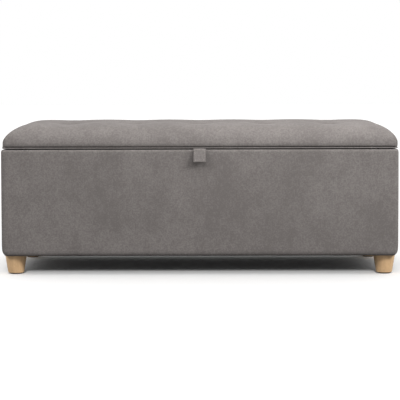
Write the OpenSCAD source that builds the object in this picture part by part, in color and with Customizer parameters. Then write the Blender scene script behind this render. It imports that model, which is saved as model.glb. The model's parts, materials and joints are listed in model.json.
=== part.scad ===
// Upholstered storage bench: a padded box on four turned feet, closed by a tufted lid.
// The lid hinges along the back and two sliding stays hold it open.
// Millimetres. +X is the viewer's right, the front faces -Y, +Z is up and the floor is z = 0.

/* [Overall] */
// Width over the fabric
bench_w = 1200; // [1000:10:1450]
// Depth over the fabric
bench_d = 450; // [375:5:560]
// Height of the feet, glides included
foot_h = 57; // [45:1:75]
// Height of the padded box, from under its fabric to its rim
box_h = 322; // [265:1:400]
// Height of the lid pad, from its lower edge to its crown
pad_h = 69; // [59:1:90]

/* [Box] */
// Thickness of the box's panels
panel_t = 15; // [12:0.5:18]
// Thickness of the floor panel
floor_t = 9; // [6:0.5:12]
// Height of the battens and foot blocks under the floor
batten_h = 25; // [20:1:35]
// Width of a batten
batten_w = 22; // [18:1:30]
// Side of a foot block
block_w = 90; // [80:1:110]
// Side of a corner post, and depth of the hinge rail
post_w = 30; // [22:1:36]
// Height of the hinge rail
rail_h = 40; // [30:1:60]
// Thickness of the foam around the box
wrap_t = 8; // [5:0.5:12]

/* [Fabric] */
// Thickness of the covering fabric
fabric_t = 1.5; // [1:0.1:2]
// Outer radius of the box's upright corners
corner_r = 14; // [12:0.5:20]
// Width of the fabric turned under an edge
hem_w = 32; // [25:1:33]
// Thickness of the storage lining
lining_t = 1; // [0.6:0.1:2]
// Thickness of the dust cover under the box
dust_t = 0.8; // [0.5:0.1:1.2]

/* [Feet] */
// Diameter of a foot at the box
foot_top_d = 66; // [52:1:70]
// Diameter of a foot at the floor
foot_bottom_d = 48; // [42:1:52]
// Distance from the bench's end to a foot's axis
foot_inset_x = 38.5; // [38:0.5:55]
// Distance from the bench's front or back to a foot's axis
foot_inset_y = 45; // [40:0.5:60]
// Radius of a foot's lower edge
foot_edge_r = 3; // [1:0.5:5]
// Diameter of a glide
glide_d = 36; // [30:1:40]
// Thickness of a glide
glide_t = 2.5; // [2:0.1:4]
// Diameter of a hanger bolt
bolt_d = 8; // [6:0.5:10]
// Depth of a hanger bolt in its foot
bolt_depth = 32; // [25:1:38]

/* [Lid] */
// Gap between the box's rim and the lid
rim_gap = 4; // [3.6:0.1:6]
// Thickness of the lid board
lid_board_t = 12; // [10:0.5:15]
// Distance from the pad's edge to the lid board's edge
lid_board_inset = 10; // [6:0.5:14]
// Thickness of the board that closes the lid's underside
under_board_t = 4.8; // [3:0.1:6]
// Thickness of that board's own cloth
under_cloth_t = 1.2; // [0.8:0.1:1.6]
// Distance from the pad's edge to the underside board
under_inset = 5.5; // [3:0.5:10]
// How far the pad's ends roll in to its crown
roll_x = 90; // [70:1:130]
// How far the pad's front and back roll in to its crown
roll_y = 120; // [80:1:130]
// Fullness of the pad's edge
roll_power = 1.75; // [1.4:0.05:2.4]

/* [Tufting] */
// Buttons along the lid
tuft_columns = 5; // [4:1:5]
// Rows of buttons
tuft_rows = 2; // [1:1:2]
// Distance between buttons
tuft_pitch = 200; // [150:5:205]
// Diameter of a covered button
button_d = 22; // [16:1:30]
// Thickness of a covered button
button_t = 8; // [6:0.5:10]
// Depth of a button's top below the crown
button_sink = 13; // [8:1:20]
// Diameter of the tufting twine
twine_d = 1.6; // [1:0.1:2.5]
// Diameter of a twine's clip
clip_d = 14; // [10:1:20]

/* [Hinges] */
// Distance between the hinges
hinge_pitch = 400; // [280:5:405]
// Width of a hinge
hinge_w = 70; // [60:1:90]
// Depth of a hinge leaf, from the pin's axis
leaf_depth = 38; // [36:0.5:48]
// Radius of a hinge knuckle
knuckle_r = 3.2; // [3:0.1:4]
// Radius of a hinge pin
pin_r = 1.5; // [1.2:0.1:1.8]
// Distance from the back of the fabric to a knuckle
knuckle_gap = 0.5; // [0.4:0.1:2]
// Knuckles on one hinge
knuckles = 5; // [3:2:7]
// Diameter of a wood screw
screw_d = 4; // [3:0.1:4.5]
// Diameter of a wood screw's head
screw_head_d = 7.4; // [6.4:0.1:8]
// Length of a wood screw
screw_l = 16; // [14:0.5:18]

/* [Stays] */
// Distance from the hinge axis forward to a stay's pivot
stay_run = 120; // [100:1:135]
// Distance from the hinge axis down to a stay's pivot
stay_drop = 45; // [38:1:50]
// Slope of a stay's track, which points at the hinge axis
track_slope = 8; // [7:0.5:9]
// Angle of the open lid
lid_open = 80; // [60:1:80]
// Width of a stay's arm
arm_w = 16; // [14:0.5:18]
// Thickness of a stay's arm and of its lid bracket
arm_t = 2.5; // [2:0.1:3]
// Radius of a stay's pivot
stay_pin_r = 3; // [2.5:0.1:3.5]
// Width of a track
track_w = 14; // [13:0.5:16]
// Thickness of a track's web
track_web = 2.2; // [2:0.1:3]
// Thickness of a track's lips
track_lip = 1.5; // [1.2:0.1:1.8]
// Depth of a track's groove
groove_depth = 6; // [5:0.5:8]

/* [Pull tab] */
// Width of the pull tab
tab_w = 37; // [30:1:50]
// Length of the pull tab, from its bend
tab_l = 42; // [35:1:60]
// Thickness of the folded tab
tab_t = 2.4; // [2:0.1:2.8]
// Length of the tab held under the lid
tab_root_l = 40; // [30:1:60]
// Lean of the hanging tab away from the box
tab_lean = 18; // [10:1:25]

/* [Bumpers] */
// Diameter of a lid bumper
bumper_d = 16; // [10:1:20]
// Distance from the pad's edge to a bumper's axis
bumper_inset = 22; // [18:1:30]

/* [Hidden] */
$fn = 64;
// Space left between pieces that only lie beside each other
clear = 0.3;
// Space around a turning pin
running = 0.05;
// How far a cutting shape runs past the piece it cuts
past = 1;

// Heights, from the floor up
case_z = foot_h + fabric_t;
floor_z = case_z + batten_h;
store_z = floor_z + floor_t;
rim_z = foot_h + box_h;
case_top = rim_z - fabric_t;
rail_z = case_top - rail_h;
under_z = rim_z + rim_gap;
pad_z = under_z + under_cloth_t + under_board_t;
lid_board_z = pad_z + fabric_t;
crown_z = pad_z + pad_h;

// Widths and depths
case_w = bench_w - 2 * (fabric_t + wrap_t);
case_d = bench_d - 2 * (fabric_t + wrap_t);
in_w = case_w - 2 * panel_t;
in_d = case_d - 2 * panel_t;
rail_y = in_d / 2 - post_w;
rail_w = in_w - 2 * post_w - 2 * clear;
case_h = case_top - case_z;
foot_x = bench_w / 2 - foot_inset_x;
foot_y = bench_d / 2 - foot_inset_y;
glide_r = glide_d / 2;
bolt_r = bolt_d / 2;
bolt_top = floor_z - 2;
nut_barrel_r = bolt_r + 1.5;
nut_flange_r = bolt_r + 6;
nut_flange_t = 1.5;

// Hinge axis, and the front-to-back shift that centres the whole bench on its origin
hinge_y = bench_d / 2 + knuckle_gap + knuckle_r;
hinge_z = rim_z + rim_gap / 2;
leaf_t = rim_gap / 2 - 0.1;
leaf_edge = knuckle_r + 0.4;
knuckle_w = hinge_w / knuckles;
knuckle_play = 0.2;
tab_axis_y = -bench_d / 2 - tab_t / 2 - 1;
tab_axis_z = under_z - tab_t / 2 - clear;
tab_reach = -tab_axis_y + tab_l * sin(tab_lean) + tab_t / 2 * cos(tab_lean);
back_reach = hinge_y + knuckle_r;
mid_y = (tab_reach - back_reach) / 2;

// Places of the hinge screws, measured from the middle of the pin
screw_near = hinge_y - case_d / 2 + panel_t / 2;
screw_far = min(screw_near + panel_t / 2 + screw_d + 1, leaf_depth - screw_head_d / 2 - 0.5);
hinge_screws = [[-0.34 * hinge_w, -screw_near], [0, -screw_far], [0.34 * hinge_w, -screw_near]];
hinge_places = [-hinge_pitch, 0, hinge_pitch];
screw_r = screw_d / 2;
screw_head_r = screw_head_d / 2;
screw_head_h = screw_head_r - screw_r;

// Stays: arm length equals the pivot's distance from the hinge axis, so that the roller
// runs on a straight line through that axis
stay_r = sqrt(stay_run * stay_run + stay_drop * stay_drop);
stay_angle = atan(stay_drop / stay_run);
rest_angle = track_slope - stay_angle;
roller_near = 2 * stay_r * cos(rest_angle + lid_open);
roller_far = 2 * stay_r;
groove_w = track_w - 2 * track_lip;
roller_r = groove_w / 2 - clear;
track_end = roller_r + 3;
track_near = roller_near - track_end;
track_far = roller_far + track_end;
wall_x = in_w / 2 - lining_t;
groove_x = wall_x - track_web;
lip_x = groove_x - groove_depth;
arm_x = lip_x - 2 * clear;
bracket_x = arm_x - arm_t - 2 * clear;
bracket_w = 26;
flange_w = 30;
flange_hole_x = flange_w - 11;
flange_hole_y = 16;
flange_l = 2 * flange_hole_y + 16;
rivet_r = 5;
rivet_t = 1.2;

// Tufting
tuft_x = [for (i = [0 : tuft_columns - 1]) (i - (tuft_columns - 1) / 2) * tuft_pitch];
tuft_y = [for (j = [0 : tuft_rows - 1]) (j - (tuft_rows - 1) / 2) * tuft_pitch];
button_z = crown_z - button_sink - button_t;
button_r = button_d / 2;
well_r = button_r + 0.5;
twine_r = twine_d / 2;
twine_hole_r = twine_r + 1.2;
clip_t = 1.2;
clip_z = lid_board_z - clip_t;
pad_levels = 11;
corner_steps = 8;
pad_corner_r = 20;
board_corner_r = 12;
sheet_t = 0.01;

oak = "burlywood";
ply = "wheat";
cloth = [0.50, 0.47, 0.45];
foam = "lightyellow";
black_cloth = [0.16, 0.16, 0.17];
steel = "silver";
rubber = [0.12, 0.12, 0.12];
nylon = "whitesmoke";

// Shared shapes

module in_place() {
    translate([0, mid_y, 0]) children();
}

module at_corners(x, y) {
    for (sx = [-1, 1], sy = [-1, 1]) {
        translate([sx * x, sy * y, 0]) children();
    }
}

module on_side(side) {
    if (side < 0) {
        mirror([1, 0, 0]) children();
    } else {
        children();
    }
}

module block(w, d, h) {
    translate([-w / 2, -d / 2, 0]) cube([w, d, h]);
}

function rounded_outline(w, d, r) = [
    for (q = [0 : 3], k = [0 : corner_steps])
        let (a = 90 * (q + k / corner_steps), sx = q == 0 || q == 3 ? 1 : -1, sy = q < 2 ? 1 : -1)
        [sx * (w / 2 - r) + r * cos(a), sy * (d / 2 - r) + r * sin(a)]
];

module rounded_block(w, d, h, r) {
    translate([r - w / 2, -d / 2, 0]) cube([w - 2 * r, d, h]);
    translate([-w / 2, r - d / 2, 0]) cube([w, d - 2 * r, h]);
    at_corners(w / 2 - r, d / 2 - r) cylinder(h = h, r = r);
}

// A countersunk wood screw that points down, with its head's top at the origin
module wood_screw() {
    rotate_extrude() polygon([
        [0, 0], [screw_head_r, 0], [screw_r, -screw_head_h],
        [screw_r, screw_r - screw_l], [0, -screw_l]
    ]);
}

module screw_hole() {
    translate([0, 0, -screw_l]) cylinder(h = screw_l + past, r = screw_r);
    translate([0, 0, -screw_head_h]) cylinder(h = screw_head_h, r1 = screw_r, r2 = screw_head_r);
}

module at_hinge_screws() {
    for (x = hinge_places, s = hinge_screws) {
        translate([x + s[0], hinge_y + s[1], 0]) children();
    }
}

module at_box_leaf_screws() {
    at_hinge_screws() translate([0, 0, hinge_z - 0.1]) children();
}

module at_lid_leaf_screws() {
    at_hinge_screws() translate([0, 0, hinge_z + 0.1]) mirror([0, 0, 1]) children();
}

// Distance s from the hinge axis along a track, on the right side
module on_track(s) {
    translate([0, hinge_y, hinge_z]) rotate([track_slope, 0, 0]) translate([0, -s, 0]) children();
}

module at_track_screws(side) {
    on_side(side) for (s = [roller_near + 2 * track_w, roller_far - 2 * track_w]) {
        on_track(s) translate([groove_x, 0, 0]) rotate([0, -90, 0]) children();
    }
}

module at_bracket_screws(side) {
    on_side(side) for (y = [-flange_hole_y, flange_hole_y]) {
        translate([bracket_x - flange_hole_x, hinge_y - stay_run + y, under_z - arm_t])
            mirror([0, 0, 1]) children();
    }
}

module at_tufts() {
    for (x = tuft_x, y = tuft_y) {
        translate([x, y, 0]) children();
    }
}

// The box's wooden case

module front_panel() {
    color(ply) translate([0, (panel_t - case_d) / 2, case_z]) block(case_w, panel_t, case_h);
}

module back_panel() {
    color(ply) difference() {
        translate([0, (case_d - panel_t) / 2, case_z]) block(case_w, panel_t, case_h);
        at_box_leaf_screws() screw_hole();
    }
}

module end_panel(side) {
    color(ply) difference() {
        translate([side * (case_w - panel_t) / 2, 0, case_z]) block(panel_t, in_d, case_h);
        at_track_screws(side) screw_hole();
    }
}

module floor_panel() {
    color(ply) translate([0, 0, floor_z]) block(in_w - 2 * clear, in_d - 2 * clear, floor_t);
}

module corner_post(sx, sy) {
    color(ply) translate([sx * (in_w - post_w) / 2, sy * (in_d - post_w) / 2, store_z])
        block(post_w, post_w, case_top - store_z);
}

module foot_block(sx, sy) {
    color(ply) difference() {
        translate([sx * (in_w - block_w) / 2, sy * (in_d - block_w) / 2, case_z])
            block(block_w, block_w, batten_h);
        translate([sx * foot_x, sy * foot_y, case_z - past])
            cylinder(h = batten_h + 2 * past, r = nut_barrel_r);
        translate([sx * foot_x, sy * foot_y, floor_z - nut_flange_t])
            cylinder(h = nut_flange_t + past, r = nut_flange_r);
    }
}

module batten(sy) {
    color(ply) translate([0, sy * (in_d - batten_w) / 2, case_z])
        block(in_w - 2 * block_w - 2 * clear, batten_w, batten_h);
}

module cross_rail() {
    color(ply) translate([0, 0, case_z])
        block(2 * batten_w, in_d - 2 * batten_w - 2 * clear, batten_h);
}

module hinge_rail() {
    color(ply) difference() {
        translate([0, rail_y + post_w / 2, rail_z]) block(rail_w, post_w, rail_h);
        at_box_leaf_screws() screw_hole();
    }
}

// The box's upholstery

module long_foam(sy) {
    color(foam) translate([0, sy * (case_d + wrap_t) / 2, case_z])
        block(bench_w - 2 * corner_r, wrap_t, case_h);
}

module end_foam(sx) {
    color(foam) translate([sx * (case_w + wrap_t) / 2, 0, case_z])
        block(wrap_t, bench_d - 2 * corner_r, case_h);
}

// Plan of the storage space beside the corner posts, drawn in by t
module store_outline(t) {
    difference() {
        square([in_w - 2 * t, in_d - 2 * t], center = true);
        for (sx = [-1, 1], sy = [-1, 1]) {
            translate([sx * in_w / 2, sy * in_d / 2]) square(2 * (post_w + t), center = true);
        }
    }
}

// Plan of the storage space in front of the hinge rail, drawn in by t
module mouth_outline(t) {
    difference() {
        translate([t - in_w / 2, t - in_d / 2]) square([in_w - 2 * t, rail_y + in_d / 2 - 2 * t]);
        for (sx = [-1, 1]) {
            translate([sx * in_w / 2, -in_d / 2]) square(2 * (post_w + t), center = true);
        }
    }
}

module box_cover() {
    color(cloth) difference() {
        translate([0, 0, foot_h]) rounded_block(bench_w, bench_d, box_h, corner_r);
        translate([0, 0, case_z])
            rounded_block(bench_w - 2 * fabric_t, bench_d - 2 * fabric_t, case_h, corner_r - fabric_t);
        translate([0, 0, foot_h - past])
            block(bench_w - 2 * hem_w, bench_d - 2 * hem_w, fabric_t + 2 * past);
        translate([0, 0, case_top - past]) linear_extrude(fabric_t + 2 * past) mouth_outline(0);
        at_box_leaf_screws() screw_hole();
    }
}

module storage_lining() {
    lining_top = rim_z - 0.5;
    color(black_cloth) difference() {
        union() {
            translate([0, 0, store_z]) linear_extrude(rail_z - store_z) store_outline(0);
            translate([0, 0, store_z]) linear_extrude(lining_top - store_z) mouth_outline(0);
        }
        translate([0, 0, store_z + lining_t])
            linear_extrude(rail_z - store_z - 2 * lining_t) store_outline(lining_t);
        translate([0, 0, store_z + lining_t])
            linear_extrude(lining_top - store_z) mouth_outline(lining_t);
        for (side = [-1, 1]) {
            at_track_screws(side) screw_hole();
        }
    }
}

module dust_cover() {
    color(black_cloth) difference() {
        translate([0, 0, case_z - dust_t])
            block(bench_w - 2 * hem_w - 2 * clear, bench_d - 2 * hem_w - 2 * clear, dust_t);
        at_corners(foot_x, foot_y) cylinder(h = case_z, r = bolt_r + clear);
    }
}

// Feet

module foot(sx, sy) {
    slope = (foot_top_d - foot_bottom_d) / 2 / (foot_h - glide_t);
    edge = [for (a = [0 : 15 : 90]) [
        foot_bottom_d / 2 - foot_edge_r * (1 - sin(a)) + foot_edge_r * slope * (1 - cos(a)),
        glide_t + foot_edge_r * (1 - cos(a))
    ]];
    color(oak) translate([sx * foot_x, sy * foot_y, 0]) difference() {
        rotate_extrude() polygon(concat([[0, glide_t]], edge, [[foot_top_d / 2, foot_h], [0, foot_h]]));
        translate([0, 0, foot_h - bolt_depth]) cylinder(h = bolt_depth + past, r = bolt_r);
    }
}

module foot_glides() {
    color(rubber) at_corners(foot_x, foot_y) cylinder(h = glide_t, r = glide_r);
}

module foot_bolts() {
    color(steel) at_corners(foot_x, foot_y)
        translate([0, 0, foot_h - bolt_depth]) cylinder(h = bolt_top - foot_h + bolt_depth, r = bolt_r);
}

module tee_nuts() {
    nut_l = 12;
    color(steel) at_corners(foot_x, foot_y) difference() {
        union() {
            translate([0, 0, floor_z - nut_l]) cylinder(h = nut_l, r = nut_barrel_r);
            translate([0, 0, floor_z - nut_flange_t]) cylinder(h = nut_flange_t, r = nut_flange_r);
        }
        cylinder(h = floor_z + past, r = bolt_r);
    }
}

// Hinges: the box leaf holds the odd knuckles and the pin, the lid leaf the even ones

module leaf(low, first, bore_r) {
    difference() {
        union() {
            translate([-hinge_w / 2, -leaf_depth, low])
                cube([hinge_w, leaf_depth - leaf_edge, leaf_t]);
            for (k = [first : 2 : knuckles - 1]) {
                translate([k * knuckle_w - hinge_w / 2 + knuckle_play / 2, 0, 0]) {
                    translate([0, -leaf_edge - past, low])
                        cube([knuckle_w - knuckle_play, leaf_edge + past, leaf_t]);
                    rotate([0, 90, 0]) cylinder(h = knuckle_w - knuckle_play, r = knuckle_r);
                }
            }
        }
        translate([-hinge_w, 0, 0]) rotate([0, 90, 0]) cylinder(h = 2 * hinge_w, r = bore_r);
    }
}

module box_leaf(x) {
    color(steel) difference() {
        translate([x, hinge_y, hinge_z]) leaf(-rim_gap / 2, 0, pin_r);
        at_box_leaf_screws() screw_hole();
    }
}

module lid_leaf(x) {
    color(steel) difference() {
        translate([x, hinge_y, hinge_z]) leaf(rim_gap / 2 - leaf_t, 1, pin_r + running);
        at_lid_leaf_screws() screw_hole();
    }
}

module hinge_pins() {
    color(steel) for (x = hinge_places) {
        translate([x - hinge_w / 2, hinge_y, hinge_z]) rotate([0, 90, 0])
            cylinder(h = hinge_w, r = pin_r);
    }
}

module box_screws() {
    color(steel) {
        at_box_leaf_screws() wood_screw();
        at_track_screws(-1) wood_screw();
        at_track_screws(1) wood_screw();
    }
}

module lid_screws() {
    color(steel) {
        at_lid_leaf_screws() wood_screw();
        at_bracket_screws(-1) wood_screw();
        at_bracket_screws(1) wood_screw();
    }
}

// Stays

module stay_track(side) {
    color(steel) difference() {
        on_side(side) on_track(track_far)
            translate([lip_x, 0, -track_w / 2])
                cube([groove_depth + track_web, track_far - track_near, track_w]);
        on_side(side) on_track(track_far)
            translate([lip_x - past, track_lip, -groove_w / 2])
                cube([groove_depth + past, track_far - track_near - 2 * track_lip, groove_w]);
        at_track_screws(side) screw_hole();
    }
}

// Frame of an arm on the right side: origin on its pivot, with the roller towards -Y
module along_arm() {
    translate([0, hinge_y - stay_run, hinge_z - stay_drop])
        rotate([track_slope + rest_angle, 0, 0]) mirror([0, 0, 1]) children();
}

module across(x, l, r) {
    translate([x, 0, 0]) rotate([0, 90, 0]) cylinder(h = l, r = r);
}

module stay_arm(side) {
    color(steel) on_side(side) along_arm() difference() {
        union() {
            translate([arm_x - arm_t, -stay_r, -arm_w / 2]) cube([arm_t, stay_r, arm_w]);
            across(arm_x - arm_t, arm_t, arm_w / 2);
            translate([0, -stay_r, 0]) across(arm_x - arm_t, arm_t, arm_w / 2);
        }
        across(arm_x - arm_t - past, arm_t + 2 * past, stay_pin_r + running);
        translate([0, -stay_r, 0]) across(arm_x - arm_t - past, arm_t + 2 * past, stay_pin_r);
    }
}

module stay_roller(side) {
    color(nylon) on_side(side) along_arm() translate([0, -stay_r, 0]) {
        across(lip_x + clear, groove_depth - 2 * clear, roller_r);
        across(arm_x - arm_t, groove_depth + arm_t, stay_pin_r);
        across(arm_x - arm_t - rivet_t, rivet_t, rivet_r);
    }
}

module stay_bracket(side) {
    plate_x = bracket_x - arm_t;
    plate_z = hinge_z - stay_drop;
    color(steel) difference() {
        on_side(side) translate([0, hinge_y - stay_run, 0]) {
            translate([plate_x, -bracket_w / 2, plate_z]) cube([arm_t, bracket_w, under_z - plate_z]);
            translate([bracket_x - flange_w, -flange_l / 2, under_z - arm_t])
                cube([flange_w, flange_l, arm_t]);
            translate([0, 0, plate_z]) across(plate_x, arm_t, bracket_w / 2);
            translate([0, 0, plate_z]) across(plate_x, arm_x - plate_x, stay_pin_r);
        }
        at_bracket_screws(side) screw_hole();
    }
}

// Lid

// The pad's rolled form, drawn in by t on every side but the bottom
module pad_form(t) {
    hull() {
        for (i = [0 : pad_levels]) {
            rise = sin(90 * i / pad_levels);
            roll = 1 - pow(1 - pow(rise, roll_power), 1 / roll_power);
            translate([0, 0, (pad_h - t - sheet_t) * rise]) linear_extrude(sheet_t)
                polygon(rounded_outline(
                    bench_w - 2 * t - 2 * roll_x * roll,
                    bench_d - 2 * t - 2 * roll_y * roll,
                    pad_corner_r - t
                ));
        }
    }
}

module lid_board_blank(h) {
    rounded_block(bench_w - 2 * lid_board_inset, bench_d - 2 * lid_board_inset, h, board_corner_r);
}

module lid_board() {
    color(ply) difference() {
        translate([0, 0, lid_board_z]) lid_board_blank(lid_board_t);
        at_tufts() cylinder(h = crown_z, r = twine_hole_r);
        at_lid_leaf_screws() screw_hole();
        at_bracket_screws(-1) screw_hole();
        at_bracket_screws(1) screw_hole();
    }
}

module lid_foam() {
    color(foam) difference() {
        translate([0, 0, lid_board_z]) pad_form_above(fabric_t);
        translate([0, 0, lid_board_z - past]) lid_board_blank(lid_board_t + past);
        at_tufts() translate([0, 0, button_z]) cylinder(h = pad_h, r = well_r);
        at_tufts() cylinder(h = crown_z, r = twine_hole_r);
    }
}

// The pad's form inside the cover, from the lid board's underside up
module pad_form_above(t) {
    intersection() {
        translate([0, 0, -t]) pad_form(t);
        block(2 * bench_w, 2 * bench_d, 2 * pad_h);
    }
}

module lid_cover() {
    color(cloth) difference() {
        translate([0, 0, pad_z]) pad_form(0);
        translate([0, 0, lid_board_z]) pad_form_above(fabric_t);
        translate([0, 0, pad_z - past])
            block(bench_w - 2 * hem_w, bench_d - 2 * hem_w, fabric_t + 2 * past);
        at_tufts() translate([0, 0, button_z]) cylinder(h = pad_h, r = well_r);
        at_lid_leaf_screws() screw_hole();
    }
}

module underside_board() {
    color(ply) difference() {
        translate([0, 0, under_z + under_cloth_t])
            block(
                bench_w - 2 * (under_inset + under_cloth_t),
                bench_d - 2 * (under_inset + under_cloth_t),
                under_board_t
            );
        at_lid_leaf_screws() screw_hole();
        at_bracket_screws(-1) screw_hole();
        at_bracket_screws(1) screw_hole();
    }
}

module underside_cover() {
    color(cloth) difference() {
        translate([0, 0, under_z])
            block(bench_w - 2 * under_inset, bench_d - 2 * under_inset, pad_z - under_z);
        translate([0, 0, under_z + under_cloth_t])
            block(
                bench_w - 2 * (under_inset + under_cloth_t),
                bench_d - 2 * (under_inset + under_cloth_t),
                pad_z - under_z
            );
        at_lid_leaf_screws() screw_hole();
        at_bracket_screws(-1) screw_hole();
        at_bracket_screws(1) screw_hole();
    }
}

module tuft_buttons() {
    rim_t = button_t / 3;
    color(cloth) at_tufts() translate([0, 0, button_z]) {
        cylinder(h = rim_t, r = button_r);
        translate([0, 0, rim_t]) rotate_extrude() intersection() {
            scale([button_r, button_t - rim_t]) circle(r = 1);
            square([button_r, button_t]);
        }
    }
}

module tufting_twines() {
    color("ivory") at_tufts() translate([0, 0, lid_board_z])
        cylinder(h = button_z - lid_board_z, r = twine_r);
}

module twine_clips() {
    color(nylon) at_tufts() translate([0, 0, clip_z]) cylinder(h = clip_t, r = clip_d / 2);
}

module lid_bumpers() {
    bumper_h = rim_gap - 0.2;
    color(rubber) for (sx = [-1, 1]) {
        translate([sx * (bench_w / 2 - bumper_inset), bumper_inset - bench_d / 2, under_z - bumper_h])
            cylinder(h = bumper_h, r = bumper_d / 2);
    }
}

module pull_tab_root() {
    root_y = tab_axis_y + tab_t / 2 + clear;
    color(cloth) translate([-tab_w / 2, root_y, tab_axis_z - tab_t / 2])
        cube([tab_w, tab_root_l, tab_t + clear]);
}

module pull_tab() {
    color(cloth) translate([0, tab_axis_y, tab_axis_z]) rotate([-tab_lean, 0, 0]) {
        translate([-tab_w / 2, -tab_t / 2, -tab_l]) cube([tab_w, tab_t, tab_l]);
        translate([-tab_w / 2, 0, 0]) rotate([0, 90, 0]) cylinder(h = tab_w, r = tab_t / 2);
    }
}

in_place() front_panel();
in_place() back_panel();
in_place() end_panel(-1);  // left_end_panel
in_place() end_panel(1);  // right_end_panel
in_place() floor_panel();
in_place() corner_post(-1, -1);  // front_left_post
in_place() corner_post(1, -1);  // front_right_post
in_place() corner_post(-1, 1);  // back_left_post
in_place() corner_post(1, 1);  // back_right_post
in_place() foot_block(-1, -1);  // front_left_foot_block
in_place() foot_block(1, -1);  // front_right_foot_block
in_place() foot_block(-1, 1);  // back_left_foot_block
in_place() foot_block(1, 1);  // back_right_foot_block
in_place() batten(-1);  // front_batten
in_place() batten(1);  // back_batten
in_place() cross_rail();
in_place() hinge_rail();
in_place() long_foam(-1);  // front_foam
in_place() long_foam(1);  // back_foam
in_place() end_foam(-1);  // left_end_foam
in_place() end_foam(1);  // right_end_foam
in_place() box_cover();
in_place() storage_lining();
in_place() dust_cover();
in_place() foot(-1, -1);  // front_left_foot
in_place() foot(1, -1);  // front_right_foot
in_place() foot(-1, 1);  // back_left_foot
in_place() foot(1, 1);  // back_right_foot
in_place() foot_glides();
in_place() foot_bolts();
in_place() tee_nuts();
in_place() box_leaf(-hinge_pitch);  // left_box_leaf
in_place() box_leaf(0);  // middle_box_leaf
in_place() box_leaf(hinge_pitch);  // right_box_leaf
in_place() hinge_pins();
in_place() box_screws();
in_place() stay_track(-1);  // left_stay_track
in_place() stay_track(1);  // right_stay_track
in_place() lid_board();
in_place() lid_foam();
in_place() lid_cover();
in_place() underside_board();
in_place() underside_cover();
in_place() tuft_buttons();
in_place() tufting_twines();
in_place() twine_clips();
in_place() lid_leaf(-hinge_pitch);  // left_lid_leaf
in_place() lid_leaf(0);  // middle_lid_leaf
in_place() lid_leaf(hinge_pitch);  // right_lid_leaf
in_place() lid_screws();
in_place() stay_bracket(-1);  // left_stay_bracket
in_place() stay_bracket(1);  // right_stay_bracket
in_place() lid_bumpers();
in_place() pull_tab_root();
in_place() stay_arm(-1);  // left_stay_arm
in_place() stay_arm(1);  // right_stay_arm
in_place() stay_roller(-1);  // left_stay_roller
in_place() stay_roller(1);  // right_stay_roller
in_place() pull_tab();
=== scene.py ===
"""Looks of an upholstered storage bench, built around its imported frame.

Metres. The front faces -Y, the hinged back is +Y and the floor is z = 0.
"""
import json
import math

import bmesh
import bpy
from mathutils import Matrix, Vector, noise


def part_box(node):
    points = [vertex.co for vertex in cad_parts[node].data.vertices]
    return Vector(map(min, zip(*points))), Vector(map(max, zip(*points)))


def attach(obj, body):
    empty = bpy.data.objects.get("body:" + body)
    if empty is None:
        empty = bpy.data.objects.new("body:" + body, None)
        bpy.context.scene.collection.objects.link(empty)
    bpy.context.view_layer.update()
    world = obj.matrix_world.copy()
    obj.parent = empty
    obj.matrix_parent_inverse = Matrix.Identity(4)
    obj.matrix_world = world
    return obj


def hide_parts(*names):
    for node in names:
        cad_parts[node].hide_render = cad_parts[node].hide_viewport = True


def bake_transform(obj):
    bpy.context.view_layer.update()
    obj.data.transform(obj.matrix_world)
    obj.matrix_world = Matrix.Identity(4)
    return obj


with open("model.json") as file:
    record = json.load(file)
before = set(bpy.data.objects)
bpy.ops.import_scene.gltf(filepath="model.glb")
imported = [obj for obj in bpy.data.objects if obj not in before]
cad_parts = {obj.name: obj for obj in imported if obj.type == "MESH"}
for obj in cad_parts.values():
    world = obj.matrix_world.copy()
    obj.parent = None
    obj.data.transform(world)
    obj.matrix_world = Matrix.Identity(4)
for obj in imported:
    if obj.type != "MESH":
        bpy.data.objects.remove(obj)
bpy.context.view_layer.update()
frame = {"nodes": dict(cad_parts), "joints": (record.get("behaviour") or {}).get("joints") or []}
MM = 0.001

# Places that the frame gives
COVER_LOW, COVER_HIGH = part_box("box_cover")
PAD_LOW, PAD_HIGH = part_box("lid_cover")
PANEL_LOW, PANEL_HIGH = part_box("front_panel")
RAIL_LOW, RAIL_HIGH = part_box("hinge_rail")
POST_LOW, POST_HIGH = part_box("front_left_post")
UNDERSIDE_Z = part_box("underside_cover")[0].z
TAB_JOINT = next(joint for joint in frame["joints"] if joint["child"] == "pull_tab")
HALF_W = (COVER_HIGH.x - COVER_LOW.x) / 2
HALF_D = (COVER_HIGH.y - COVER_LOW.y) / 2
MID_Y = (COVER_HIGH.y + COVER_LOW.y) / 2
FRONT_Y = COVER_LOW.y

# ---------------------------------------------------------------- camera, light and floor

CAMERA_AWAY, CAMERA_HEIGHT, CAMERA_ASIDE = 3.628, 0.572, 0.02
CAMERA_DROP, CAMERA_PAN, CAMERA_ROLL = (math.radians(turn) for turn in (2.3, -0.02, -0.13))


def camera():
    """A long lens a little above the seat, turned down slightly and shifted to keep uprights upright."""
    data = bpy.data.cameras.new("camera")
    data.sensor_width = 36.0
    data.lens = 108.8
    data.shift_y = -0.165
    pan = math.atan2(CAMERA_ASIDE, CAMERA_AWAY) + CAMERA_PAN
    turn = (
        Matrix.Rotation(pan, 3, "Z")
        @ Matrix.Rotation(math.radians(90) - CAMERA_DROP, 3, "X")
        @ Matrix.Rotation(CAMERA_ROLL, 3, "Z")
    )
    view = bpy.data.objects.new("camera", data)
    view.location = (CAMERA_ASIDE, FRONT_Y - CAMERA_AWAY, CAMERA_HEIGHT)
    view.rotation_euler = turn.to_euler()
    bpy.context.scene.collection.objects.link(view)
    bpy.context.scene.camera = view


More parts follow.
